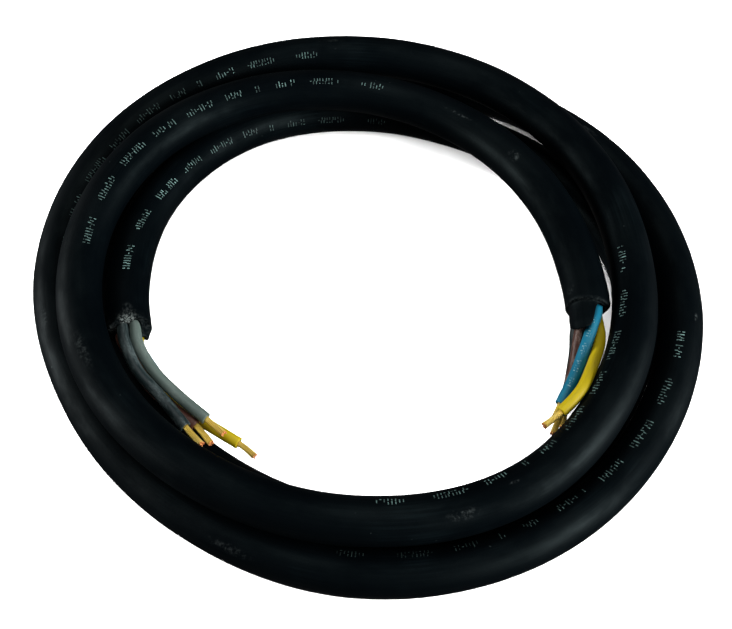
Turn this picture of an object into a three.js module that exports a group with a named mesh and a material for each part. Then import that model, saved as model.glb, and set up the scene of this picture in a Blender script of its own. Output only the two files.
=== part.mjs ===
// A cut length of five-core rubber cable, wound in two layers, with both ends stripped.
// Millimetres, +Z up. The origin is the bottom centre of the coil's box, on the surface it lies on.
// The cable is followed clockwise, seen from above, by an angle in degrees: 0 is on the -X side.
import * as THREE from "three";

// Section of the cable
const SHEATH_RADIUS = 7.4;
const SHEATH_SIDES = 12;
const BORE_RADIUS = 5.5;
const BORE_SIDES = 10;
const CORE_PITCH_RADIUS = 3.32;
const INSULATION_RADIUS = 1.85;
const INSULATION_SIDES = 6;
const INSULATION_BORE_RADIUS = 1.25;
const CONDUCTOR_RADIUS = 0.9;
const CONDUCTOR_SIDES = 5;
const FILLER_RADIUS = 1.2;

// Coil
const COIL_CENTRE = [-3.5, 3.7];
const FIRST_ROW_ANGLE = -30;
const ROW_ANGLE = 30;
const SHEATH_START_ANGLE = -22;
const SHEATH_END_ANGLE = 1277;
const STATION_ANGLE = 20;

// Where the green-yellow core sits in the section at each end, from the inward side towards up.
// The other cores follow it at a fifth of a turn each.
const START_LAY_ANGLE = -20;
const END_LAY_ANGLE = 210;
const CORE_SPACING_ANGLE = -72;

// Radius and height of the centreline at each twelfth of a turn, a list chosen by hand.
// The lower layer has two turns side by side, and the upper layer lies on them.
const COIL_ROWS = [
  // from the left end, down to the lower layer, inner side
  [[81, 22], [78.1, 18.5], [79, 15], [80.8, 11.5], [81, 8.5], [82.5, 7.5]],
  [[89, 7.5], [96, 7.5], [97.1, 7.5], [96.5, 7.5], [92.6, 7.5], [87.3, 7.5]],
  // lower layer, moving out from the inner turn to the outer one
  [[86.4, 7.5], [89.5, 7.5], [93, 7.5], [96, 7.5], [99.8, 7.5], [104.3, 7.5]],
  [[109.7, 7.5], [112.1, 7.5], [112.3, 8], [111.7, 8.5], [107.9, 8], [102.6, 8]],
  // climbing to the upper layer
  [[101.7, 9], [104.9, 14], [105, 19], [100.8, 22.5], [96.7, 23.5], [94.4, 23.5]],
  [[92.5, 23.5], [93, 23], [97.2, 23], [100.2, 22.5], [97.6, 22.5], [95.6, 24]],
  // last turn, which ends on the inner side of the upper layer
  [[95, 26], [92, 28], [87, 29], [80.5, 27.5], [75, 25], [71, 23.5]],
  [[70.2, 23.5], [74.3, 22.5], [83, 22.5]],
].flat();

// Each core: its colour, and its points beyond the sheath at the left and right ends, lists chosen
// by hand. The insulation stops at the fourth point, and the bare copper runs on to the fifth.
const CORES = [
  {
    name: "green_yellow",
    color: 0xb9c22c,
    left: [[-74, -30.5, 19], [-67.5, -41.5, 16], [-56, -52, 13.5], [-41, -63, 12], [-35.5, -67.5, 11.5]],
    right: [[75.5, -29, 21], [72.5, -37, 22.5], [66, -50.5, 26.5], [59, -58.5, 25], [53.5, -63.5, 24]],
  },
  {
    name: "blue",
    color: 0x1d8fb8,
    left: [[-75, -30.5, 14.5], [-68, -38.5, 12], [-61.5, -45.5, 9.5], [-56.5, -50, 8], [-54, -53.5, 7.5]],
    right: [[72.5, -27.5, 24.5], [69.5, -35, 22.5], [66, -43, 20], [61, -52, 17.5], [59, -56, 16.5]],
  },
  {
    name: "brown",
    color: 0x6b4436,
    left: [[-78.5, -33, 19.5], [-72, -43, 18], [-63.5, -51.5, 16.5], [-54.5, -58.5, 15.5], [-49, -65, 15]],
    right: [[69, -28, 21], [68, -33, 18], [66.5, -39, 15], [62.5, -50.5, 12.5], [58.5, -60, 12]],
  },
  {
    name: "black",
    color: 0x2e3338,
    left: [[-78.5, -32.5, 24], [-73.5, -42, 22.5], [-65.5, -51, 20.5], [-57, -61, 19], [-51.5, -67, 18.5]],
    right: [[68.5, -25.5, 17], [68.5, -29.5, 13], [67, -37, 10], [64.5, -47, 8.5], [62.5, -55.5, 8]],
  },
  {
    name: "grey",
    color: 0x76807f,
    left: [[-74.5, -32.5, 23], [-69, -41.5, 21.5], [-61, -49.5, 20], [-51, -57.5, 18], [-45, -62.5, 17]],
    right: [[73.5, -28.5, 15.5], [72.5, -33, 12], [70.5, -38.5, 9], [69, -41.5, 7], [68, -45, 6.5]],
  },
];
const INSULATED_POINTS = 4;

const rowCurve = new THREE.SplineCurve(
  COIL_ROWS.map(([radius, height]) => new THREE.Vector2(radius, height)),
);
const ROWS_ANGLE = (COIL_ROWS.length - 1) * ROW_ANGLE;

function centrePoint(angle) {
  const row = rowCurve.getPoint((angle - FIRST_ROW_ANGLE) / ROWS_ANGLE);
  const around = THREE.MathUtils.degToRad(180 - angle);
  const x = COIL_CENTRE[0] + row.x * Math.cos(around);
  const y = COIL_CENTRE[1] + row.x * Math.sin(around);
  return new THREE.Vector3(x, y, row.y);
}

// The section's own axes at an angle: inward is level and points to the coil's middle.
function sectionAxes(angle) {
  const along = centrePoint(angle + 1).sub(centrePoint(angle - 1)).normalize();
  const inward = along.clone().cross(new THREE.Vector3(0, 0, 1)).normalize();
  const up = inward.clone().cross(along);
  return { inward, up };
}

// Neighbouring turns have their sections at the same azimuths, so that their facets lie parallel.
function stationAngles() {
  const angles = [SHEATH_START_ANGLE];
  for (let angle = 0; angle < SHEATH_END_ANGLE; angle += STATION_ANGLE) angles.push(angle);
  return [...angles, SHEATH_END_ANGLE];
}

// A core's centreline inside the sheath. The cores are laid up with a very long lay.
function corePoint(angle, coreIndex) {
  const { inward, up } = sectionAxes(angle);
  const share = (angle - SHEATH_START_ANGLE) / (SHEATH_END_ANGLE - SHEATH_START_ANGLE);
  const lay = THREE.MathUtils.lerp(START_LAY_ANGLE, END_LAY_ANGLE, share);
  const turned = THREE.MathUtils.degToRad(lay + coreIndex * CORE_SPACING_ANGLE);
  return centrePoint(angle)
    .addScaledVector(inward, CORE_PITCH_RADIUS * Math.cos(turned))
    .addScaledVector(up, CORE_PITCH_RADIUS * Math.sin(turned));
}

function coreRoute(core, coreIndex, tailPoints) {
  const vectors = (points) => points.slice(0, tailPoints).map((p) => new THREE.Vector3(...p));
  const inside = stationAngles().map((angle) => corePoint(angle, coreIndex));
  return [...vectors(core.left).reverse(), ...inside, ...vectors(core.right)];
}

function ring(radius, sides) {
  const corner = (i) => (i * 2 * Math.PI) / sides;
  return Array.from({ length: sides }, (_, i) => {
    return new THREE.Vector2(radius * Math.cos(corner(i)), radius * Math.sin(corner(i)));
  });
}

// A closed tube or rod whose sections stand exactly on the stations given.
function sweep(stations, outer, bore) {
  const section = new THREE.Shape(outer);
  if (bore) section.holes.push(new THREE.Path(bore));
  const path = new THREE.CatmullRomCurve3(stations, false, "catmullrom");
  path.getPointAt = path.getPoint;
  path.getTangentAt = path.getTangent;
  return new THREE.ExtrudeGeometry(section, { steps: stations.length - 1, extrudePath: path });
}

const cable = new THREE.Group();

function addPiece(name, geometry, color, roughness, metalness = 0) {
  const material = new THREE.MeshStandardMaterial({ color, roughness, metalness });
  const piece = new THREE.Mesh(geometry, material);
  piece.name = name;
  cable.add(piece);
}

const centreline = stationAngles().map(centrePoint);
const sheath = sweep(centreline, ring(SHEATH_RADIUS, SHEATH_SIDES), ring(BORE_RADIUS, BORE_SIDES));
addPiece("sheath", sheath, 0x111517, 0.6);
addPiece("centre_filler", sweep(centreline, ring(FILLER_RADIUS, CONDUCTOR_SIDES)), 0x3a3a38, 0.9);

CORES.forEach((core, index) => {
  const insulation = sweep(
    coreRoute(core, index, INSULATED_POINTS),
    ring(INSULATION_RADIUS, INSULATION_SIDES),
    ring(INSULATION_BORE_RADIUS, CONDUCTOR_SIDES),
  );
  addPiece("insulation_" + core.name, insulation, core.color, 0.55);
  const wireRoute = coreRoute(core, index, core.left.length);
  const wire = sweep(wireRoute, ring(CONDUCTOR_RADIUS, CONDUCTOR_SIDES));
  addPiece("conductor_" + core.name, wire, 0xc98a4b, 0.35, 1);
});

export default cable;
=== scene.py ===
"""The coil of five-core rubber cable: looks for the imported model, in metres, in the row frame."""

import math

import bmesh
import bpy
import numpy as np
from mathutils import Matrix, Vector


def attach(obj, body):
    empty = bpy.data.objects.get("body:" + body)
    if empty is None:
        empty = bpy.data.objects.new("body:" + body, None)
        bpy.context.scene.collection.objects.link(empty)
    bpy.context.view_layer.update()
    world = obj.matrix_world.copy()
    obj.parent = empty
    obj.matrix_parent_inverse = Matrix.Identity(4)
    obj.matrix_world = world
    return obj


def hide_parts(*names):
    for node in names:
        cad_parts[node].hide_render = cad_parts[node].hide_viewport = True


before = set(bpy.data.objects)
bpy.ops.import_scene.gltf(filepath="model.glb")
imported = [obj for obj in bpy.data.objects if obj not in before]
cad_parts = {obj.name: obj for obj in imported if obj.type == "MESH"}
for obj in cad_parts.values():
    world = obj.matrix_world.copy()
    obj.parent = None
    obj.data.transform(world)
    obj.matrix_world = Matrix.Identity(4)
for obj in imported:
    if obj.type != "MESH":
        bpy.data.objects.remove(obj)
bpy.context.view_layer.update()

MM = 0.001

# ---------------------------------------------------------------- camera

CAMERA_TARGET = Vector((-0.75, -5.77, 0.0)) * MM
CAMERA_ELEVATION = math.radians(55.79)
CAMERA_DISTANCE = 390.89 * MM

camera_data = bpy.data.cameras.new("camera")
camera_data.sensor_width = 36.0
camera_data.lens = 54.37
camera_data.clip_start = 0.01
camera = bpy.data.objects.new("camera", camera_data)
bpy.context.scene.collection.objects.link(camera)
back = Vector((0.0, -math.cos(CAMERA_ELEVATION), math.sin(CAMERA_ELEVATION)))
camera.location = CAMERA_TARGET + back * CAMERA_DISTANCE
camera.rotation_mode = "QUATERNION"
camera.rotation_quaternion = (-back).to_track_quat("-Z", "Y")
bpy.context.scene.camera = camera

# ---------------------------------------------------------------- the cable's route

COIL_CENTRE = (-3.5, 3.7)
FIRST_ROW_ANGLE = -30
ROW_ANGLE = 30
SHEATH_START_ANGLE = -22
SHEATH_END_ANGLE = 1277
# Radius and height of the centreline, mm, at each twelfth of a turn: the CAD's, except that seven rows
# stand up to 0.7 mm from theirs
COIL_ROWS = [
    (81, 22), (78.1, 18.5), (79, 15), (80.8, 11.5), (81, 8.5), (82.5, 7.5),
    (89, 7.5), (96.7, 7.5), (97.3, 7.5), (96.7, 7.5), (92.6, 7.5), (87.3, 7.5),
    (86.4, 7.5), (89.5, 7.5), (93, 7.5), (96, 7.5), (99.8, 7.5), (104.3, 7.5),
    (109.7, 7.5), (112.1, 7.5), (112.3, 8), (111.7, 8.5), (107.9, 8), (102.6, 8),
    (101.7, 9), (104.9, 14), (105, 19), (100.8, 22.5), (96.7, 23.5), (94.4, 23.5),
    (92.5, 23.5), (92.4, 23), (96.6, 23), (100.2, 22.5), (97.6, 22.5), (95.6, 24),
    (95, 26), (92, 28), (87, 29), (80.5, 27.5), (75, 25), (71, 23.5),
    (69.9, 23.5), (74.0, 22.5), (83, 22.5),
]

# Section of the cable, mm
SHEATH_RADIUS = 7.4
CORE_PITCH_RADIUS = 3.32
INSULATION_RADIUS = 1.95
CONDUCTOR_RADIUS = 1.05
STRAND_RADIUS = 0.205
CORE_SPACING = math.radians(-72)
START_LAY = math.radians(-20)
LAY_TURN = math.radians(16 * 360 + 230)

# Points beyond the sheath at each end, mm: the insulation stops at the fourth, the copper at the fifth
INSULATED_POINTS = 4
COPPER_POINTS = 5
CORES = {
    "green_yellow": (
        [(-75, -31.5, 18.5), (-68.7, -42.7, 16), (-56.8, -53, 13.5), (-41, -63, 12),
         (-35.5, -67.5, 11.5)],
        [(75.5, -29, 21), (72.9, -37.5, 22.7), (66.4, -51.5, 26.2), (59.5, -59, 25), (53.5, -63.5, 24)],
    ),
    "blue": (
        [(-75, -30.5, 14.5), (-68.5, -39, 12), (-61.5, -46, 9.5), (-56.5, -50, 8), (-54, -53.5, 7.5)],
        [(72.5, -27.5, 24.5), (69.5, -35, 22.5), (66, -43, 20), (61, -52, 17.5), (59, -56, 16.5)],
    ),
    "brown": (
        [(-78.5, -33, 19.5), (-72, -43, 18), (-63.5, -51.5, 16.5), (-54.5, -58.5, 15.5),
         (-49, -65, 15)],
        [(69, -28, 21), (68, -33, 18), (66.5, -39, 15), (62.5, -50.5, 12.5), (58.5, -60, 12)],
    ),
    "black": (
        [(-78.5, -32.5, 24), (-73.5, -42.5, 22.5), (-65.5, -51, 20.5), (-57, -61, 19),
         (-51.5, -67, 18.5)],
        [(68.5, -25.5, 17), (68.5, -29.5, 13), (67, -37, 10), (64.5, -47, 8.5), (62.5, -55.5, 8)],
    ),
    "grey": (
        [(-74.5, -32.5, 23), (-69, -41.5, 21.5), (-61, -49.5, 20), (-51, -57.5, 18), (-45, -62.5, 17)],
        [(73.5, -28.5, 15.5), (72.5, -33, 12), (70.5, -38.5, 9), (69, -41.5, 7), (68, -45, 6.5)],
    ),
}


def catmull(points, t):
    """Points on the uniform spline through points, at parameters t from 0 to 1."""
    points = np.asarray(points, float)
    last = len(points) - 1
    place = np.clip(np.asarray(t, float), 0, 1) * last
    i = np.minimum(place.astype(int), last - 1)
    w = (place - i)[:, None]
    p0, p1 = points[np.maximum(i - 1, 0)], points[i]
    p2, p3 = points[i + 1], points[np.minimum(i + 2, last)]
    m1, m2 = (p2 - p0) / 2, (p3 - p1) / 2
    a, b = 2 * p1 - 2 * p2 + m1 + m2, -3 * p1 + 3 * p2 - 2 * m1 - m2
    return ((a * w + b) * w + m1) * w + p1


def centre_points(angles):
    rows = catmull(COIL_ROWS, (angles - FIRST_ROW_ANGLE) / (ROW_ANGLE * (len(COIL_ROWS) - 1)))
    around = np.radians(180 - angles)
    x = COIL_CENTRE[0] + rows[:, 0] * np.cos(around)
    y = COIL_CENTRE[1] + rows[:, 0] * np.sin(around)
    return np.column_stack([x, y, rows[:, 1]])


def unit(v):
    return v / np.linalg.norm(v, axis=-1, keepdims=True)


def read_rows(at, s, rows):
    """Rows of three values, known at s, read off at other places."""
    return np.column_stack([np.interp(at, s, rows[:, k]) for k in range(3)])


class Line:
    """The centreline by arc length in mm from the left cut, straight beyond each cut."""

    def __init__(self):
        angles = np.linspace(SHEATH_START_ANGLE, SHEATH_END_ANGLE, 5201)
        self.points = centre_points(angles)
        steps = np.linalg.norm(np.diff(self.points, axis=0), axis=1)
        self.s = np.concatenate([[0], np.cumsum(steps)])
        self.length = self.s[-1]
        self.along = unit(np.gradient(self.points, self.s, axis=0))

    def at(self, s):
        s = np.atleast_1d(np.asarray(s, float))
        held = np.clip(s, 0, self.length)
        point = read_rows(held, self.s, self.points)
        along = unit(read_rows(held, self.s, self.along))
        return point + along * (s - held)[:, None], along

    def axes(self, s):
        point, along = self.at(s)
        inward = unit(np.cross(along, [0.0, 0.0, 1.0]))
        return point, along, inward, np.cross(inward, along)

    def lay(self, s, core):
        return START_LAY + LAY_TURN * np.asarray(s) / self.length + core * CORE_SPACING


line = Line()


def smooth_noise(shape, cells, seed):
    """A smooth random field on a grid that closes in its second direction, about -1 to 1."""
    r = np.random.RandomState(seed)
    rows, cols = cells
    coarse = r.uniform(-1, 1, (rows + 3, cols))
    u = np.linspace(0, rows, shape[0])
    v = np.linspace(0, cols, shape[1], endpoint=False)
    iu, iv = u.astype(int), v.astype(int)
    fu, fv = (u - iu)[:, None], (v - iv)[None, :]
    fu, fv = fu * fu * (3 - 2 * fu), fv * fv * (3 - 2 * fv)
    iu2 = np.minimum(iu + 1, rows + 2)
    iv2 = (iv + 1) % cols
    top = coarse[iu][:, iv] * (1 - fv) + coarse[iu][:, iv2] * fv
    low = coarse[iu2][:, iv] * (1 - fv) + coarse[iu2][:, iv2] * fv
    return top * (1 - fu) + low * fu


# ---------------------------------------------------------------- meshes


def make_object(name, verts, faces, uvs=None, attributes=None):
    mesh = bpy.data.meshes.new(name)
    mesh.from_pydata((np.asarray(verts) * MM).tolist(), [], [list(map(int, f)) for f in faces])
    if uvs is not None:
        layer = mesh.uv_layers.new(name="along")
        loop_vert = np.zeros(len(mesh.loops), int)
        mesh.loops.foreach_get("vertex_index", loop_vert)
        layer.data.foreach_set("uv", np.asarray(uvs, np.float32)[loop_vert].ravel())
    for key, values in (attributes or {}).items():
        layer = mesh.attributes.new(key, "FLOAT", "POINT")
        layer.data.foreach_set("value", np.asarray(values, np.float32))
    mesh.polygons.foreach_set("use_smooth", [True] * len(mesh.polygons))
    mesh.update()
    mesh.validate()
    obj = bpy.data.objects.new(name, mesh)
    bpy.context.scene.collection.objects.link(obj)
    return obj


def grid_faces(rows, cols, start=0, close_rows=False):
    """Quads on a grid of rows of points, each row a closed ring."""
    i = np.arange(rows if close_rows else rows - 1)
    j = np.arange(cols)
    i, j = np.meshgrid(i, j, indexing="ij")
    i2, j2 = (i + 1) % rows, (j + 1) % cols
    quads = np.stack([i * cols + j, i * cols + j2, i2 * cols + j2, i2 * cols + j], axis=-1)
    return quads.reshape(-1, 4) + start


def frames_along(points):
    """Tangent and two turning-free side vectors at each point."""
    points = np.asarray(points, float)
    along = unit(np.gradient(points, axis=0))
    side = np.zeros_like(along)
    start = np.cross(along[0], [0.0, 0.0, 1.0])
    side[0] = unit(start)
    for k in range(1, len(points)):
        v = side[k - 1] - along[k] * side[k - 1].dot(along[k])
        side[k] = v / np.linalg.norm(v)
    return along, side, np.cross(along, side)


def resample(points, step):
    points = np.asarray(points, float)
    s = np.concatenate([[0], np.cumsum(np.linalg.norm(np.diff(points, axis=0), axis=1))])
    n = max(2, int(round(s[-1] / step)) + 1)
    at = np.linspace(0, s[-1], n)
    return read_rows(at, s, points)


def angles_round(sides):
    return np.arange(sides) * 2 * math.pi / sides


def rings(side, up, theta):
    """A unit circle across a route at each of its points."""
    return side[:, None, :] * np.cos(theta)[None, :, None] + up[:, None, :] * np.sin(theta)[None, :, None]


def tube_faces(rows, cols, start=0):
    """The wall of a closed tube, and a cap on each end."""
    first = [start + j for j in range(cols)]
    last = [start + (rows - 1) * cols + j for j in range(cols)]
    return [*grid_faces(rows, cols, start)[:, ::-1], first, last[::-1]]


def jagged(sides, values):
    """Values at every other point round a section, and halfway between them at the rest."""
    return np.interp(np.arange(sides), np.arange(0, sides + 1, 2), np.r_[values, values[:1]])


# The sheath: outer wall, cut faces, and an inner wall pressed around the cores.
SIDES = 48
RINGS = 600
RIPPLE = (
    smooth_noise((RINGS, SIDES), (160, 5), 3) * 0.035
    + smooth_noise((RINGS, SIDES), (420, 9), 4) * 0.015
)
# The outer wall stands this far outside the CAD's radius, mm, which closes the gaps between turns
SHEATH_SWELL = 0.04
# How far the outer rim and the torn inner lip reach past each cut: degrees of the section, and mm
LEFT_RIM = [(0, 0.8), (40, 0.6), (80, 0.0), (180, 0.1), (300, 0.6)]
LEFT_LIP = [
    (-60, 0.5), (-35, 3.6), (-10, 4.8), (16, 4.8),
    (30, 3.8), (42, 1.4), (52, 0.6), (180, 0.5),
]
RIGHT_RIM = [
    (0, -1.0), (60, -0.4), (98, 0.2), (132, 0.5),
    (150, 0.0), (165, -1.2), (200, -1.8), (280, -0.6),
]
RIGHT_LIP = [
    (-70, 0.5), (-35, 4.5), (0, 7.4), (20, 9.2), (45, 10.3), (84, 10.0), (91, 8.4),
    (98, 5.2), (105, 2.2), (112, 0.7), (132, 0.9), (160, 0.2), (200, -1.0), (280, 0.0),
]


def bore_radius(theta, lay):
    """Radius of the five-lobed bore that the cores fill, at angle theta of the section."""
    off = np.mod(theta - lay + math.radians(36), math.radians(72)) - math.radians(36)
    r = INSULATION_RADIUS + 0.07
    inside = np.maximum(r * r - (CORE_PITCH_RADIUS * np.sin(off)) ** 2, 0)
    return CORE_PITCH_RADIUS * np.cos(off) + np.sqrt(inside)


def window(theta, centre, half, soft):
    """1 within half of centre, falling to 0 over soft, in degrees."""
    off = np.abs((np.degrees(theta) - centre + 180) % 360 - 180)
    x = np.clip((half + soft - off) / soft, 0, 1)
    return x * x * (3 - 2 * x)


def profile(theta, table):
    """Values read round the section from a table of degrees and values."""
    degrees, values = zip(*table)
    return np.interp(np.degrees(theta), degrees, values, period=360)


def radius_at(radius):
    return np.broadcast_to(radius, (SIDES,))[:, None]


def make_sheath():
    theta = angles_round(SIDES)
    r = np.random.RandomState(11)
    jag = [jagged(SIDES, v) for v in r.uniform(-1, 1, (6, SIDES // 2))]
    left_rim = profile(theta, LEFT_RIM) + 0.22 * jag[0]
    left_lip = profile(theta, LEFT_LIP) + 0.25 * jag[1]
    right_rim = profile(theta, RIGHT_RIM) + 0.15 * jag[2]
    right_lip = profile(theta, RIGHT_LIP) + 0.25 * jag[3]
    left_dust = 0.05 + 0.85 * window(theta, 88, 14, 16) + 0.4 * window(theta, 150, 6, 14)

    rows, arcs, talc = [], [], []

    def add(s, radius, dust=0.0):
        s = np.broadcast_to(s, theta.shape)
        point, _, inward, up = line.axes(s)
        outwards = inward * np.cos(theta)[:, None] + up * np.sin(theta)[:, None]
        rows.append(point + radius_at(radius) * outwards)
        arcs.append(s)
        talc.append(np.broadcast_to(dust, theta.shape))

    end = line.length
    body = np.linspace(3.0, end - 5.0, RINGS)
    for k, s in enumerate(body):
        add(s, SHEATH_RADIUS + SHEATH_SWELL + RIPPLE[k])
    # right cut: rim, face, torn lip, and back into the bore
    past = right_lip - right_rim
    add(end - 1.4 + right_rim, SHEATH_RADIUS + 0.03)
    add(end - 0.35 + right_rim, SHEATH_RADIUS, 0.04)
    add(end + right_rim, SHEATH_RADIUS - 0.3, 0.08)
    add(end + right_rim + 0.1 * jag[4], SHEATH_RADIUS - 0.75, 0.03)
    add(end + right_rim + 0.10 * past, 6.45 + 0.05 * jag[5])
    add(end + right_rim + 0.35 * past, 6.36 + 0.05 * jag[4])
    add(end + right_rim + 0.65 * past, 6.32 + 0.06 * jag[2])
    add(end + right_lip - 0.4, 6.25)
    add(end + right_lip, 5.95, 0.05)
    add(end + right_lip - 0.3, 5.55, 0.1)
    add(end + right_rim + 0.5 * past, 5.5)
    add(end + right_rim - 0.3, 5.48)
    for s in np.linspace(end - 4.0, 1.5, 300):
        add(s, bore_radius(theta, line.lay(s, 0)), 0.1)
    # left cut, from the bore outwards
    bore_start = bore_radius(theta, line.lay(0, 0))
    base = np.minimum(bore_start + 0.85, 6.6)
    full = window(theta, 5, 28, 18)
    add(-0.5 * left_lip, bore_start - 0.5 * full, 0.1)
    add(-left_lip + 0.3, bore_start + 0.12 - 0.9 * full, left_dust * 0.5)
    add(-left_lip, bore_start + 0.45 - 0.8 * full, left_dust)
    add(-left_lip + 0.3, base - 0.75 * full, left_dust)
    add(-0.6 * left_lip, base - 0.1 * full, left_dust)
    add(-left_rim * 0.4 - 0.1 - 0.2 * left_lip, base + 0.2 + 0.3 * full, left_dust)
    add(-left_rim * 0.8 + 0.2 * jag[5], SHEATH_RADIUS - 0.9 + 0.35 * full, left_dust)
    add(-left_rim, SHEATH_RADIUS - 0.35, left_dust * 0.7)
    add(0.35 - left_rim, SHEATH_RADIUS - 0.08 - 0.1 * full, left_dust * 0.4)
    add(1.4 - left_rim, SHEATH_RADIUS - 0.03 - 0.1 * full, left_dust * 0.15)

    verts = np.concatenate(rows)
    verts[:, 2] = np.maximum(verts[:, 2], 0.0)
    faces = grid_faces(len(rows), SIDES, close_rows=True)
    # texture coordinates: metres along, and the angle as a share of the turn
    uv = np.column_stack([np.concatenate(arcs) * MM, np.tile(theta / (2 * math.pi), len(rows))])
    obj = make_object("sheath_cable", verts, faces[:, ::-1], uv, {"talc": np.concatenate(talc)})
    fix_seam(obj)
    return obj


def fix_seam(obj):
    """The last strip of each ring runs on past the seam in the angle, not back."""
    mesh = obj.data
    layer = mesh.uv_layers[0].data
    uv = np.zeros(len(layer) * 2, np.float32)
    layer.foreach_get("uv", uv)
    uv = uv.reshape(-1, 4, 2)
    wraps = (uv[:, :, 1].max(1) - uv[:, :, 1].min(1)) > 0.5
    low = uv[:, :, 1] < uv[:, :, 1].max(1, keepdims=True) - 0.5
    uv[:, :, 1] += (wraps[:, None] & low).astype(np.float32)
    layer.foreach_set("uv", uv.ravel())


# Steps along the cores in the sheath, along their tails, and along the strands, mm
CORE_STEP = 10.0
TAIL_STEP = 1.2
WIRE_STEP = 0.8


def core_line(core, tail):
    """A core's centreline, mm: inside the sheath, and its left and right tails up to the point given."""
    name = list(CORES)[core]
    left, right = CORES[name]
    s = np.arange(0, line.length + 1, CORE_STEP)
    s[-1] = line.length
    point, _, inward, up = line.axes(s)
    lay = line.lay(s, core)
    inside = point + CORE_PITCH_RADIUS * (inward * np.cos(lay)[:, None] + up * np.sin(lay)[:, None])

    def run(mouth, tail_points):
        control = np.concatenate([mouth, np.asarray(tail_points, float)])
        skipped = len(mouth) - 1
        start = skipped / (len(control) - 1)
        return catmull(control, np.linspace(start, 1, 30 * (len(control) - skipped)))

    left_run = run(inside[:3][::-1], left[:tail])
    right_run = run(inside[-3:], right[:tail])
    return inside, left_run, right_run


def core_route(core, tail):
    inside, left_run, right_run = core_line(core, tail)
    left_fine = resample(left_run, TAIL_STEP)
    right_fine = resample(right_run, TAIL_STEP)
    return np.concatenate([left_fine[::-1][:-1], inside, right_fine[1:]])


# Where the yellow core's stripe starts, and how far round it comes out on the right, as shares of a turn
STRIPE_START = 0.06
STRIPE_TURN = 0.55


def make_insulation(core, name):
    route = core_route(core, INSULATED_POINTS)
    along, side, up = frames_along(route)
    sides = 20
    theta = angles_round(sides)
    ring = rings(side, up, theta)
    n = len(route)
    r = np.random.RandomState(50 + core)
    wobble = smooth_noise((n, sides), (n // 6, 4), 60 + core) * 0.025
    outer_radius = INSULATION_RADIUS - 0.02 + wobble
    jag = jagged(sides, r.uniform(-1, 1, sides // 2))
    outer = route[:, None, :] + ring * outer_radius[:, :, None]
    bore = CONDUCTOR_RADIUS + 0.04
    inner = route[:, None, :] + ring * bore
    # the cut face from its rim to its bore: radius, reach past the end, and roughness
    cut_face = [
        (INSULATION_RADIUS - 0.06, 0.12, 0.5),
        (INSULATION_RADIUS - 0.35, 0.2, 1.0),
        (bore + 0.25, 0.15, 1.0),
        (bore, 0.0, 0.5),
    ]

    def end_rows(k, outwards):
        return [
            route[k] + ring[k] * radius + outwards * (push + 0.14 * rough * jag)[:, None]
            for radius, push, rough in cut_face
        ]

    rows = [*outer, *end_rows(n - 1, along[-1]), *inner[::-1], *end_rows(0, -along[0])[::-1]]
    s = np.concatenate([[0], np.cumsum(np.linalg.norm(np.diff(route, axis=0), axis=1))])
    arcs = np.concatenate([s, [s[-1]] * len(cut_face), s[::-1], [s[0]] * len(cut_face)])
    # the stripe keeps to one side of the core, and comes out at another side on the right
    turned = theta[None, :] / (2 * math.pi) + np.where(arcs > s[-1] / 2, STRIPE_TURN, 0.0)[:, None]
    uv = np.column_stack([np.repeat(arcs * MM, sides), turned.ravel()])
    faces = grid_faces(len(rows), sides, close_rows=True)[:, ::-1]
    obj = make_object("core_" + name, np.concatenate(rows), faces, uv)
    fix_seam(obj)
    return obj


def strand_points():
    """Places of the strands in the section: one, six round it, and twelve round those."""
    points = [(0.0, 0.0)]
    for ring, count in ((1, 6), (1.93, 12)):
        turned = np.radians(np.arange(count) * 360 / count + 15 * (ring - 1))
        radius = 2.02 * STRAND_RADIUS * ring
        points += [(radius * math.cos(a), radius * math.sin(a)) for a in turned]
    return points


WIRE_SIDES = 8
# The strands start this far inside the insulation, turn once in this length, and redden this near the
# tip, mm
WIRE_HELD = 4.8
WIRE_LAY = 45.0
TIP_LENGTH = 1.3


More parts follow.
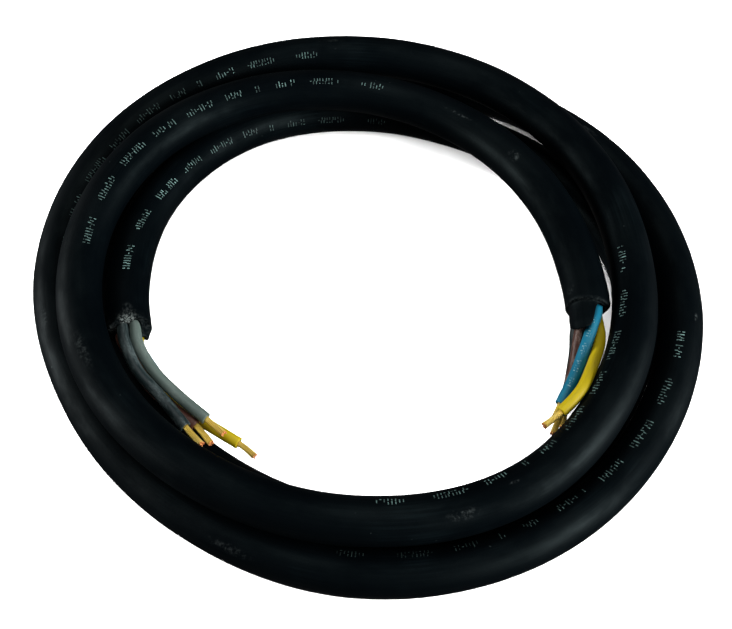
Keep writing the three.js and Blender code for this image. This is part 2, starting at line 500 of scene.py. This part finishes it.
def make_conductor(core, name):
    sides = 12
    # a plain rod where the insulation hides it
    hidden = core_route(core, INSULATED_POINTS)[5:-5]
    _, side, up = frames_along(hidden)
    rod = hidden[:, None, :] + rings(side, up, angles_round(sides)) * (CONDUCTOR_RADIUS - 0.02)
    verts = [rod.reshape(-1, 3)]
    faces = tube_faces(len(hidden), sides)
    count = len(hidden) * sides
    tip = [0.0] * count
    r = np.random.RandomState(90 + core)
    insulated_runs = core_line(core, INSULATED_POINTS)[1:]
    copper_runs = core_line(core, COPPER_POINTS)[1:]
    for insulated, copper_run in zip(insulated_runs, copper_runs):
        first = max(0, len(resample(insulated, WIRE_STEP)) - 7)
        part = resample(copper_run, WIRE_STEP)[first:]
        along, side, up = frames_along(part)
        s = np.arange(len(part)) * WIRE_STEP
        bare = max(s[-1] - WIRE_HELD, 1.0)
        twist = 2 * math.pi * s / WIRE_LAY
        for x, y in strand_points():
            # each strand springs out a little towards its tip
            free = np.clip((s - WIRE_HELD) / bare, 0, 1)
            spread = 1 + (0.08 + 0.12 * r.rand() ** 3) * free ** 2
            dx, dy = r.normal(0, 0.035, 2)
            wx = (x * np.cos(twist) - y * np.sin(twist)) * spread + dx * free ** 2
            wy = (x * np.sin(twist) + y * np.cos(twist)) * spread + dy * free ** 2
            centre = part + side * wx[:, None] + up * wy[:, None]
            centre[-1] += along[-1] * r.uniform(-0.45, 0.25)
            _, wire_side, wire_up = frames_along(centre)
            wire = centre[:, None, :] + STRAND_RADIUS * rings(wire_side, wire_up, angles_round(WIRE_SIDES))
            verts.append(wire.reshape(-1, 3))
            faces += tube_faces(len(centre), WIRE_SIDES, start=count)
            near = np.clip((s - (s[-1] - TIP_LENGTH)) / TIP_LENGTH, 0, 1) ** 3
            tip.extend(np.repeat(near, WIRE_SIDES))
            count += len(centre) * WIRE_SIDES
    return make_object("copper_" + name, np.concatenate(verts), faces, None, {"tip": tip})


def make_filler():
    s = np.arange(0, line.length, 12.0)
    point, _, inward, up = line.axes(s)
    sides = 10
    theta = angles_round(sides)
    lay = line.lay(s, 0)[:, None] + theta[None, :]
    radius = 1.0 + 0.28 * np.cos(5 * (theta - math.radians(36)))[None, :]
    level, height = np.cos(lay) * radius, np.sin(lay) * radius
    ring = inward[:, None, :] * level[:, :, None] + up[:, None, :] * height[:, :, None]
    verts = (point[:, None, :] + ring).reshape(-1, 3)
    return make_object("filler_core", verts, tube_faces(len(s), sides))


# ---------------------------------------------------------------- print

# The print is a row of plain bars and dashes that spells nothing. Each repeat has ten groups of them:
# the middle of each group and its length, mm.
MARK_GROUPS = [(0.0, 12.0), (18.8, 12.0), (36.4, 13.0), (52.5, 10.0), (68.3, 11.5),
               (82.6, 7.0), (92.3, 1.8), (103.2, 8.5), (118.3, 12.0), (136.9, 9.0)]
# Each repeat: the middle of its first group, mm from the left cut; its stretch; then, group by group,
# where it stands in the section, in degrees, and how strong it still is.
MARK_REPEATS = [
    (26.0, 1.0, [85, 74, 57, 52, 43, 38, 29, 26, 23, 20],
     [0.95, 0.9, 1, 0.6, 0.45, 0.35, 0.3, 0.25, 0.2, 0.2]),
    (335.0, 1.0, [92] * 10, [0.5] * 10),
    (634.0, 1.0, [104] * 10, [0.5] * 10),
    (933.5, 1.06, [81, 77, 78, 75, 66, 66, 65, 65, 65, 65],
     [1, 0.7, 0.7, 0.6, 0.5, 0.3, 0.25, 0.15, 0.1, 0.1]),
    (1243.3, 1.0, [60, 60, 60, 57, 60, 54, 52, 51, 49, 48],
     [0.5, 0.5, 0.4, 0.35, 0.45, 0.35, 0.6, 1, 0.55, 0.6]),
    (1554.8, 1.0, [55, 51, 44, 46, 47, 54, 54, 58, 61, 65],
     [0.8, 0.7, 0.6, 0.5, 0.5, 0.5, 0.5, 0.6, 0.5, 0.6]),
    (1852.3, 1.0, [69, 72, 72, 66, 63, 64, 64, 67, 70, 71],
     [0.6, 0.55, 0.65, 0.6, 0.6, 0.6, 0.4, 1, 0.5, 0.7]),
]
# The shapes that a mark can have: strokes from (x, y) to (x, y), in shares of the mark's size
MARK_SHAPES = [
    [(0, -1, 0, 1)],
    [(0, -1, 0, -0.3), (0, 0.3, 0, 1)],
    [(0, -0.5, 0, 0.5)],
    [(-0.45, 0, 0.45, 0)],
    [(-0.25, -1, -0.25, 0), (0.3, 0, 0.3, 1)],
    [(0, -1, 0, 0.3)],
    [(-0.4, -0.8, 0.4, -0.8), (0, 0, 0, 1)],
]


# Marks on the sheath: pitch, half height and stroke width, the heights of a stroke's top and foot above
# the CAD's surface, mm, and the share of strokes that are not worn away
MARK_PITCH = 1.15
MARK_HALF_HEIGHT = 1.15
STROKE_WIDTH = 0.30
STROKE_TOP = 0.11
STROKE_FOOT = -0.12
STROKES_KEPT = 0.93


def mark_strokes(length, pitch, half_height, r):
    """Strokes in mm for one group, centred on 0: x along the cable and y across."""
    count = max(1, int(round(length / pitch)))
    strokes = []
    for i in range(count):
        x = (i + 0.5 - count / 2) * pitch
        for x0, y0, x1, y1 in MARK_SHAPES[r.randint(len(MARK_SHAPES))]:
            left, right = x + x0 * pitch * 0.65, x + x1 * pitch * 0.65
            strokes.append((left, y0 * half_height, right, y1 * half_height))
    return strokes


class Marks:
    """Raised strokes, each a thin closed solid that follows the surface it stands on."""

    def __init__(self):
        self.verts, self.faces, self.worn = [], [], []

    def add(self, place, stroke, width, strength):
        x0, y0, x1, y1 = stroke
        k = np.linspace(0, 1, 6)
        x, y = x0 + (x1 - x0) * k, y0 + (y1 - y0) * k
        size = math.hypot(x1 - x0, y1 - y0)
        nx, ny = -(y1 - y0) / size * width / 2, (x1 - x0) / size * width / 2
        corners = [(x - nx, y - ny, 1), (x + nx, y + ny, 1), (x + nx, y + ny, 0), (x - nx, y - ny, 0)]
        ring = np.stack([place(*corner) for corner in corners], axis=1)
        start = len(self.verts)
        self.verts += ring.reshape(-1, 3).tolist()
        self.faces += grid_faces(len(k), 4, start=start).tolist()
        self.faces.append([start + j for j in (3, 2, 1, 0)])
        self.faces.append([start + (len(k) - 1) * 4 + j for j in range(4)])
        self.worn += [strength] * (len(k) * 4)

    def make(self, name):
        obj = make_object(name, self.verts, self.faces, None, {"strength": self.worn})
        mesh = bmesh.new()
        mesh.from_mesh(obj.data)
        bmesh.ops.recalc_face_normals(mesh, faces=mesh.faces)
        mesh.to_mesh(obj.data)
        mesh.free()
        obj.data.polygons.foreach_set("use_smooth", [False] * len(obj.data.polygons))
        return obj


def make_print():
    marks = Marks()
    pattern = np.random.RandomState(21)
    groups = [mark_strokes(length, MARK_PITCH, MARK_HALF_HEIGHT, pattern) for _, length in MARK_GROUPS]
    wear = np.random.RandomState(22)
    for first, stretch, turned, strengths in MARK_REPEATS:
        middles = np.array([first + stretch * middle for middle, _ in MARK_GROUPS])
        for middle, strokes, strength in zip(middles, groups, strengths):

            def place(x, y, top):
                s = middle + x
                point, _, inward, up = line.axes(s)
                theta = np.radians(np.interp(s, middles, turned)) + y / SHEATH_RADIUS
                radius = SHEATH_RADIUS + (STROKE_TOP if top else STROKE_FOOT)
                return point + radius * (inward * np.cos(theta)[:, None] + up * np.sin(theta)[:, None])

            for stroke in strokes:
                if wear.rand() < STROKES_KEPT:
                    marks.add(place, stroke, STROKE_WIDTH, strength * wear.uniform(0.4, 0.95))
    return marks.make("sheath_print")


def make_core_print():
    """Small marks on the blue core's right tail."""
    step = 0.5
    tail = resample(core_line(list(CORES).index("blue"), INSULATED_POINTS)[2], step)
    along = unit(np.gradient(tail, axis=0))
    s = step * np.arange(len(tail))
    # the marks face the camera
    facing = unit(np.array(back) - along * (along @ np.array(back))[:, None])
    side = np.cross(along, facing)
    marks = Marks()
    r = np.random.RandomState(31)
    for middle, length in ((6.5, 2.4), (11.0, 3.6), (16.8, 4.8), (23.0, 4.8), (29.0, 3.6)):

        def place(x, y, top):
            at = middle + x
            point, f, d = (read_rows(at, s, rows) for rows in (tail, facing, side))
            angle = 0.42 + y / INSULATION_RADIUS
            radius = INSULATION_RADIUS + (0.02 if top else -0.08)
            return point + radius * (f * np.cos(angle)[:, None] + d * np.sin(angle)[:, None])

        for stroke in mark_strokes(length, 0.9, 0.7, r):
            marks.add(place, stroke, 0.22, r.uniform(0.4, 1.0))
    return marks.make("core_print")


# ---------------------------------------------------------------- materials


class Nodes:
    """A short way to write a node material."""

    def __init__(self, name):
        self.material = bpy.data.materials.new(name)
        self.material.use_nodes = True
        self.tree = self.material.node_tree
        self.shader = self.tree.nodes["Principled BSDF"]

    def add(self, kind, inputs=None, **settings):
        node = self.tree.nodes.new(kind)
        for key, value in settings.items():
            setattr(node, key, value)
        for key, value in (inputs or {}).items():
            self.put(node.inputs[key], value)
        return node

    def put(self, socket, value):
        if isinstance(value, bpy.types.NodeSocket):
            self.tree.links.new(value, socket)
        else:
            socket.default_value = value

    def set(self, **values):
        for key, value in values.items():
            self.put(self.shader.inputs[key.replace("_", " ")], value)

    def coords(self):
        return self.add("ShaderNodeTexCoord").outputs["Object"]

    def along(self):
        return self.add("ShaderNodeUVMap", uv_map="along").outputs["UV"]

    def attribute(self, name):
        return self.add("ShaderNodeAttribute", attribute_name=name).outputs["Fac"]

    def stretch(self, vector, scale):
        return self.add("ShaderNodeMapping", {"Vector": vector, "Scale": scale}).outputs["Vector"]

    def noise(self, vector, scale, detail=3.0, roughness=0.55):
        inputs = {"Vector": vector, "Scale": scale, "Detail": detail, "Roughness": roughness}
        return self.add("ShaderNodeTexNoise", inputs).outputs["Fac"]

    def ramp(self, value, low, high, out_low=0.0, out_high=1.0):
        inputs = {"Value": value, "From Min": low, "From Max": high}
        inputs |= {"To Min": out_low, "To Max": out_high}
        node = self.add("ShaderNodeMapRange", inputs, clamp=True, interpolation_type="SMOOTHSTEP")
        return node.outputs["Result"]

    def maths(self, operation, a, b=0.0):
        node = self.add("ShaderNodeMath", operation=operation)
        self.put(node.inputs[0], a)
        self.put(node.inputs[1], b)
        return node.outputs["Value"]

    def mix(self, factor, a, b):
        node = self.add("ShaderNodeMix", data_type="RGBA")
        self.put(node.inputs["Factor"], factor)
        for socket, value in ((node.inputs[6], a), (node.inputs[7], b)):
            self.put(socket, value if isinstance(value, bpy.types.NodeSocket) else (*value, 1.0))
        return node.outputs[2]

    def bump(self, height, strength, distance, normal=None):
        inputs = {"Height": height, "Strength": strength, "Distance": distance}
        if normal is not None:
            inputs["Normal"] = normal
        return self.add("ShaderNodeBump", inputs).outputs["Normal"]


# Scuffs on the sheath, and pale patches of painted sheen among them: mm from the left cut, degrees of the
# section, half length and half width in mm, and strength
SCUFFS_AND_SHEEN = [
    (2053.4, 70, 3.2, 2.6, 0.36),
    (2026.0, 75, 9.0, 0.7, 0.23),
    (1806.0, 104, 9.0, 2.4, 0.16),
    (1654.0, 88, 2.0, 0.7, 0.39),
    (1671.5, 119, 6.0, 2.2, 0.20),
    (921.0, 119, 2.2, 0.9, 0.36),
    (1113.9, 134, 9.0, 2.0, 0.13),
    (830.0, 94, 5.0, 1.2, 0.16),
    (1390.0, 92, 7.0, 1.0, 0.13),
    (3.6, 84, 2.6, 2.4, 0.18),
    (2114.5, 36, 2.4, 2.4, 0.20),
    (1217.0, 116, 7.0, 1.5, 0.16),
]


def rubber_material():
    n = Nodes("sheath_rubber")
    xyz, uv = n.coords(), n.along()
    broad = n.noise(xyz, 38, 3)
    # (metres along, share of a turn): streaks run along the cable, as the extruder leaves them
    streaks = n.noise(n.stretch(uv, (30, 60, 1)), 1, 4)
    fine = n.noise(xyz, 900, 3)
    torn = n.noise(xyz, 700, 4, 0.7)
    talc = n.attribute("talc")
    haze = n.maths("MULTIPLY", n.ramp(broad, 0.5, 0.75), n.ramp(streaks, 0.35, 0.7))
    base = n.mix(haze, (0.0002, 0.0008, 0.0014), (0.0016, 0.0034, 0.0044))
    specks = n.ramp(n.noise(xyz, 420, 2, 0.7), 0.735, 0.76, 0, 0.5)
    base = n.mix(n.maths("MULTIPLY", specks, n.ramp(broad, 0.5, 0.65)), base, (0.04, 0.05, 0.05))
    scuffs_and_sheen = None
    for s, degrees, half_length, half_width, strength in SCUFFS_AND_SHEEN:
        scale = (1000 / half_length, 2 * math.pi * SHEATH_RADIUS / half_width, 0)
        place = n.add("ShaderNodeMapping", {
            "Vector": uv, "Scale": scale,
            "Location": (-s / half_length, -degrees / 360 * scale[1], 0),
        }).outputs["Vector"]
        length = n.add("ShaderNodeVectorMath", operation="LENGTH")
        n.put(length.inputs[0], place)
        spot = n.ramp(length.outputs["Value"], 1.0, 0.2, 0, strength)
        scuffs_and_sheen = spot if scuffs_and_sheen is None else n.maths("MAXIMUM", scuffs_and_sheen, spot)
    scuffs_and_sheen = n.maths("MULTIPLY", scuffs_and_sheen, n.ramp(torn, 0.45, 0.68))
    # paints these patches a pale grey-teal: some are scuffs, and some are painted sheen where the rubber
    # catches light
    base = n.mix(scuffs_and_sheen, base, (0.11, 0.13, 0.13))
    crumbs = n.ramp(n.noise(xyz, 1400, 3, 0.7), 0.42, 0.66)
    base = n.mix(n.maths("MULTIPLY", talc, crumbs), base, (0.20, 0.23, 0.22))
    handled = n.noise(n.stretch(uv, (28, 3.2, 1)), 1, 4, 0.6)
    gloss = n.ramp(handled, 0.35, 0.65, 0.55, 1.5)
    shine = n.maths("MULTIPLY", gloss, n.ramp(streaks, 0.2, 0.8, 0.9, 1.1))
    n.set(Base_Color=base, Roughness=n.ramp(handled, 0.3, 0.7, 0.62, 0.48))
    n.put(n.shader.inputs["Specular IOR Level"], n.maths("MULTIPLY", shine, 0.045))
    n.shader.inputs["Specular Tint"].default_value = (0.72, 0.98, 1.0, 1.0)
    grain = n.bump(fine, 0.35, 0.00006)
    n.set(Normal=n.bump(streaks, 0.25, 0.00012, grain))
    return n.material


def print_material(name, ink, ground, low, high):
    """Worn ink: it keeps its colour in flecks, and shows what it stands on between them."""
    n = Nodes(name)
    xyz = n.coords()
    flecks = n.ramp(n.noise(xyz, 1100, 3, 0.7), low, high)
    base = n.mix(n.maths("MULTIPLY", n.attribute("strength"), flecks), ground, ink)
    n.set(Base_Color=base, Roughness=n.ramp(n.noise(xyz, 400), 0.3, 0.7, 0.5, 0.7))
    n.shader.inputs["Specular IOR Level"].default_value = 0.13
    return n.material


INSULATION_ROUGHNESS = 0.45


def insulation_material(name, colour, dust, amount, stripe=None, left_amount=None):
    n = Nodes("insulation_" + name)
    xyz, uv = n.coords(), n.along()
    tint = n.noise(n.stretch(uv, (60, 3, 1)), 1, 3)
    darker = tuple(c * 0.82 for c in colour)
    lighter = tuple(min(1, c * 1.12) for c in colour)
    base = n.mix(n.ramp(tint, 0.3, 0.7), darker, lighter)
    if stripe is not None:
        part = n.add("ShaderNodeSeparateXYZ", {"Vector": uv}).outputs["Y"]
        turned = n.maths("FRACT", n.maths("ADD", part, STRIPE_START))
        band = n.maths("MULTIPLY", n.ramp(turned, 0.0, 0.015), n.ramp(turned, 0.34, 0.325))
        base = n.mix(band, base, stripe)
    film = n.noise(n.stretch(uv, (110, 5, 1)), 1, 5, 0.65)
    grit = n.noise(xyz, 1800, 3, 0.7)
    mask = n.maths("MULTIPLY", n.ramp(film, 0.42, 0.72, 0, amount), n.ramp(grit, 0.3, 0.62, 0.35, 1))
    if left_amount is not None:
        # the same core is cleaner at its left end
        metres = n.add("ShaderNodeSeparateXYZ", {"Vector": uv}).outputs["X"]
        mask = n.maths("MULTIPLY", mask, n.ramp(metres, 1.0, 1.1, left_amount / amount, 1))
    base = n.mix(mask, base, dust)
    rough = n.ramp(film, 0.3, 0.7, INSULATION_ROUGHNESS - 0.06, INSULATION_ROUGHNESS + 0.14)
    n.set(Base_Color=base, Roughness=rough)
    n.shader.inputs["Specular IOR Level"].default_value = 0.25
    n.set(Normal=n.bump(grit, 0.3, 0.00004, n.bump(film, 0.3, 0.0001)))
    return n.material


def copper_material():
    n = Nodes("bare_copper")
    xyz = n.coords()
    patch = n.noise(xyz, 260, 2)
    base = n.mix(n.ramp(patch, 0.3, 0.75), (0.80, 0.57, 0.10), (0.90, 0.70, 0.20))
    base = n.mix(n.attribute("tip"), base, (0.50, 0.15, 0.055))
    n.set(Base_Color=base, Roughness=n.ramp(patch, 0.3, 0.7, 0.34, 0.44))
    n.shader.inputs["Metallic"].default_value = 0.7
    n.set(Normal=n.bump(n.noise(xyz, 3000, 2), 0.15, 0.00002))
    return n.material


def filler_material():
    n = Nodes("filler")
    xyz = n.coords()
    base = n.mix(n.noise(xyz, 900, 4), (0.02, 0.02, 0.02), (0.10, 0.10, 0.095))
    n.set(Base_Color=base, Roughness=n.ramp(n.noise(xyz, 300), 0.3, 0.7, 0.8, 0.95))
    return n.material


INSULATION_LOOKS = {
    "green_yellow": dict(
        colour=(0.52, 0.395, 0.004), dust=(0.50, 0.42, 0.10), amount=0.2, stripe=(0.010, 0.14, 0.09)
    ),
    "blue": dict(colour=(0.0015, 0.15, 0.25), dust=(0.10, 0.36, 0.42), amount=0.2),
    "brown": dict(colour=(0.055, 0.018, 0.011), dust=(0.46, 0.32, 0.26), amount=1.0, left_amount=0.15),
    "black": dict(colour=(0.008, 0.015, 0.016), dust=(0.14, 0.18, 0.18), amount=0.55),
    "grey": dict(colour=(0.080, 0.110, 0.098), dust=(0.21, 0.25, 0.23), amount=0.4),
}

# ---------------------------------------------------------------- build

sheath = make_sheath()
sheath.data.materials.append(rubber_material())
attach(sheath, "root")
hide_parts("sheath")

pieces_on_cable = []
filler = make_filler()
filler.data.materials.append(filler_material())
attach(filler, "root")
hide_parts("centre_filler")
pieces_on_cable.append(filler)

copper = copper_material()
for index, name in enumerate(CORES):
    core = make_insulation(index, name)
    core.data.materials.append(insulation_material(name, **INSULATION_LOOKS[name]))
    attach(core, "root")
    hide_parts("insulation_" + name)
    wires = make_conductor(index, name)
    wires.data.materials.append(copper)
    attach(wires, "root")
    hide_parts("conductor_" + name)
    pieces_on_cable += [core, wires]

ink = make_print()
ink.data.materials.append(
    print_material("worn_ink", (0.25, 0.43, 0.40), (0.0008, 0.0016, 0.0022), 0.34, 0.58)
)
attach(ink, "root")
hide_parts("sheath")
core_ink = make_core_print()
core_ink.data.materials.append(
    print_material("core_ink", (0.42, 0.66, 0.68), (0.006, 0.17, 0.27), 0.36, 0.6)
)
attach(core_ink, "root")
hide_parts("insulation_blue")
pieces_on_cable += [ink, core_ink]

# the path runs on past the right cut, mm, so that it covers the torn lip there
PATH_PAST_CUT = 3.0
cord_path = line.at(np.linspace(0, line.length + PATH_PAST_CUT, 260))[0] * MM
tuple(cord_path[0])
[tuple(p) for p in cord_path]

# ---------------------------------------------------------------- floor and light


def area_light(name, place, target, size, power):
    data = bpy.data.lights.new(name, "AREA")
    data.shape = "RECTANGLE"
    data.size, data.size_y = size
    data.energy = power
    light = bpy.data.objects.new(name, data)
    light.location = place
    light.rotation_mode = "QUATERNION"
    light.rotation_quaternion = (Vector(target) - Vector(place)).to_track_quat("-Z", "Y")
    bpy.context.scene.collection.objects.link(light)
    return light


floor_mesh = bpy.data.meshes.new("floor")
half = 6.0
floor_corners = [(-half, -half, 0), (half, -half, 0), (half, half, 0), (-half, half, 0)]
floor_mesh.from_pydata(floor_corners, [], [(0, 1, 2, 3)])
floor = bpy.data.objects.new("floor", floor_mesh)
bpy.context.scene.collection.objects.link(floor)
floor_nodes = Nodes("floor_white")
floor_nodes.set(Base_Color=(0.93, 0.93, 0.93, 1.0))
floor_nodes.shader.inputs["Roughness"].default_value = 0.9
floor_nodes.shader.inputs["Specular IOR Level"].default_value = 0.0
floor.data.materials.append(floor_nodes.material)
# a black cable on a white floor: the floor throws no light back on its flanks
floor.visible_diffuse = False
floor.visible_glossy = False

area_light("softbox_left", (-0.9, 0.05, 0.20), (0, 0, 0.02), (0.5, 0.4), 11.0)
area_light("softbox_right", (0.85, -0.40, 0.34), (0, 0, 0.02), (0.7, 0.5), 22.0)
area_light("overhead", (0, 0.15, 1.2), (0, 0, 0), (1.0, 1.0), 6.0)
# the floor has a lamp of its own, so that it stays pale beside a black cable
floor_lamp = area_light("floor_lamp", (0, 0, 1.3), (0, 0, 0), (3.4, 3.4), 220.0)
lit_floor = bpy.data.collections.new("lit_floor")
lit_floor.objects.link(floor)
floor_lamp.light_linking.receiver_collection = lit_floor

world = bpy.data.worlds.new("world")
world.use_nodes = True
world.node_tree.nodes["Background"].inputs["Color"].default_value = (1.0, 1.0, 1.0, 1.0)
world.node_tree.nodes["Background"].inputs["Strength"].default_value = 0.09
bpy.context.scene.world = world
bpy.context.scene.view_settings.view_transform = "Standard"
